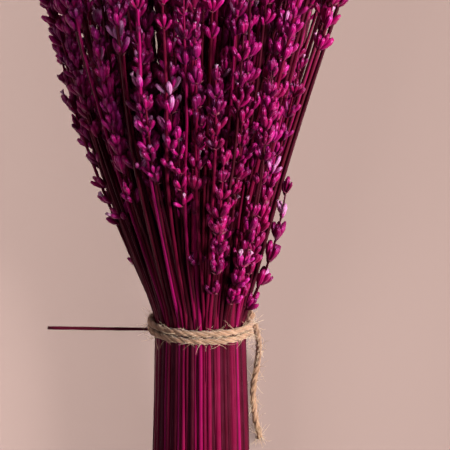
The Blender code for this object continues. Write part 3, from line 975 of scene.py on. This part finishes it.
turn_path = []
for i in range(TURN_POINTS * TURNS + 1):
    turn = i / TURN_POINTS
    height = TIE_HEIGHT + TURN_PITCH * (turn - TURNS / 2)
    turn_path.append(twine_point(KNOT_ANGLE + 2 * math.pi * turn, height))
knot_centre = twine_point(KNOT_ANGLE, TIE_HEIGHT, out=KNOT_OUT)
knot_out = (knot_centre - place(TIE_HEIGHT, 0, 0)).normalized()
knot_along = (place(1, 0, 0) - place(0, 0, 0)).normalized()
knot_side = knot_along.cross(knot_out)
# The knot is laid as a trefoil, the simplest one that closes.
knot_path = []
for i in range(KNOT_POINTS + 1):
    t = 2 * math.pi * i / KNOT_POINTS
    point = knot_centre + knot_along * (math.sin(t) + 2 * math.sin(2 * t)) * KNOT_SCALE
    point += knot_side * (math.cos(t) - 2 * math.cos(2 * t)) * KNOT_SCALE
    knot_path.append(point - knot_out * math.sin(3 * t) * KNOT_DEPTH)
bend = knot_centre + (knot_side + knot_along) * SHORT_END / 2
short_path = [knot_centre, bend, bend + (knot_side + knot_along / 2 + knot_out / 3) * SHORT_END]

twine_growth = Growth()
lay_twine(twine_growth, turn_path, TWINE)
lay_twine(twine_growth, knot_path, KNOT_TWINE)
lay_twine(twine_growth, short_path, KNOT_TWINE)
twine = twine_growth.build("twine_turns", [jute_finish])
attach(twine, "root")
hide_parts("twine")

# The twine is hairy all over: loose jute fibres stand out of its surface and curl, paler than the plies.
# They are single hairs, each a thin three-sided rod that grows slimmer to its tip.
HAIR_WIDTH = 0.00016
HAIR_SECTION = ((1, 0), (-0.5, 0.87), (-0.5, -0.87))
HAIR_POINTS = 6
HAIR_TAPER = 0.12
HAIR_CURL = 0.28
HAIR_LENGTHS = (0.25, 1.0)
HAIR_ALONG, HAIR_OUT = (0.6, 1.6), (0.25, 1.0)
# Where a hair leaves the twine, as a share of its thickness, and how far apart the places for one are.
HAIR_ROOT = 0.42
HAIR_STEP = 0.001
HAIR_DARK, HAIR_PALE = (0.42, 0.25, 0.12, 1), (0.80, 0.62, 0.42, 1)
# How many hairs each stretch has, and the length of its longest.
TURN_HAIRS = (420, 0.0075)
KNOT_HAIRS = (60, 0.006)
SHORT_END_HAIRS = (40, 0.005)
HAIR_SEED = 77

hair_finish = Finish("Jute hair", roughness=0.7, sheen_weight=0.2)
hair_finish.colour(hair_finish.reading("tone").blend(HAIR_DARK, HAIR_PALE))


def any_direction(draw):
    return Vector((draw.uniform(-1, 1), draw.uniform(-1, 1), draw.uniform(-1, 1)))


def grow_fuzz(growth, path, thickness, hairs, draw):
    """Loose hairs along a path whose points are evenly spaced."""
    count, longest = hairs
    widths = [HAIR_WIDTH / 2 * (1 - HAIR_TAPER * k) for k in range(HAIR_POINTS)]
    for _ in range(count):
        i = draw.randrange(1, len(path) - 1)
        run = Vector(path[i + 1] - path[i - 1]).normalized()
        out = any_direction(draw)
        out = (out - run * out.dot(run)).normalized()
        at = Vector(path[i]) + out * thickness * HAIR_ROOT
        heading = run * draw.choice((-1, 1)) * draw.uniform(*HAIR_ALONG) + out * draw.uniform(*HAIR_OUT)
        heading.normalize()
        curl = any_direction(draw) * HAIR_CURL
        length = draw.uniform(*HAIR_LENGTHS) * longest
        line = []
        for k in range(HAIR_POINTS):
            line.append(at.copy())
            at += heading * length / (HAIR_POINTS - 1)
            heading = (heading + curl).normalized()
        points, skin, faces, ends = draw_along(line, HAIR_SECTION, widths)
        growth.add(points, skin, faces + ends, draw.random())


draw = random.Random(HAIR_SEED)
fuzz_growth = Growth()
grow_fuzz(fuzz_growth, evenly(turn_path, HAIR_STEP), TWINE, TURN_HAIRS, draw)
grow_fuzz(fuzz_growth, evenly(knot_path, HAIR_STEP), KNOT_TWINE, KNOT_HAIRS, draw)
grow_fuzz(fuzz_growth, evenly(short_path, HAIR_STEP), KNOT_TWINE, SHORT_END_HAIRS, draw)
fuzz = fuzz_growth.build("twine_fuzz", [hair_finish])
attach(fuzz, "root")

# The twine's long end leaves the knot at the right, drops beside the stems and lies loose on the surface.
# About 24 mm of it shows in the picture, and 60 mm is what such an end usually has. Its tip is frayed.
TAIL_POINTS = 18
TAIL_CLEAR = 0.0002
# No point of it or of its hairs is lower than this.
TAIL_LOWEST = 0.0001
TAIL_HAIRS = (130, 0.007)
FRAYED_HAIRS = (60, 0.007)
FRAYED_POINTS = 4
FRAYED_SHARE = 0.6

lying = TWINE / 2 + TAIL_CLEAR
tail_guide = [
    knot_centre + Vector((0.0037, -0.0037, -0.0006)),
    knot_centre + Vector((0.0052, -0.0105, -0.0070)),
    Vector((knot_centre.x + 0.0056, knot_centre.y - 0.0160, 0.0085)),
    Vector((knot_centre.x + 0.0050, knot_centre.y - 0.0245, lying)),
    Vector((knot_centre.x + 0.0034, knot_centre.y - 0.0345, lying)),
    Vector((knot_centre.x + 0.0040, knot_centre.y - 0.0450, lying)),
    Vector((knot_centre.x + 0.0062, knot_centre.y - 0.0560, lying)),
]
spans = len(tail_guide) - 1
tail_guide = [tail_guide[0] * 2 - tail_guide[1], *tail_guide, tail_guide[-1] * 2 - tail_guide[-2]]
tail_route = []
for i in range(TAIL_POINTS + 1):
    k = min(i * spans // TAIL_POINTS, spans - 1)
    t = i * spans / TAIL_POINTS - k
    a, b, c, d = tail_guide[k : k + 4]
    curved = (2 * a - 5 * b + 4 * c - d) * t**2 + (3 * b - a - 3 * c + d) * t**3
    point = (2 * b + (c - a) * t + curved) / 2
    point.z = max(point.z, lying)
    tail_route.append(point)
tail_length = sum((b - a).length for a, b in zip(tail_route, tail_route[1:]))
tail_growth = Growth()
lay_twine(tail_growth, tail_route, TWINE)
tail = tail_growth.build("twine_tail_end", [jute_finish], TAIL_LOWEST)
tail_path = evenly(tail_route, HAIR_STEP)
tail_fuzz_growth = Growth()
grow_fuzz(tail_fuzz_growth, tail_path, TWINE, TAIL_HAIRS, draw)
grow_fuzz(tail_fuzz_growth, tail_path[-FRAYED_POINTS:], TWINE * FRAYED_SHARE, FRAYED_HAIRS, draw)
tail_fuzz = tail_fuzz_growth.build("twine_tail_fuzz", [hair_finish], TAIL_LOWEST)
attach(tail, "root")
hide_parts("twine_tail")
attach(tail_fuzz, "root")
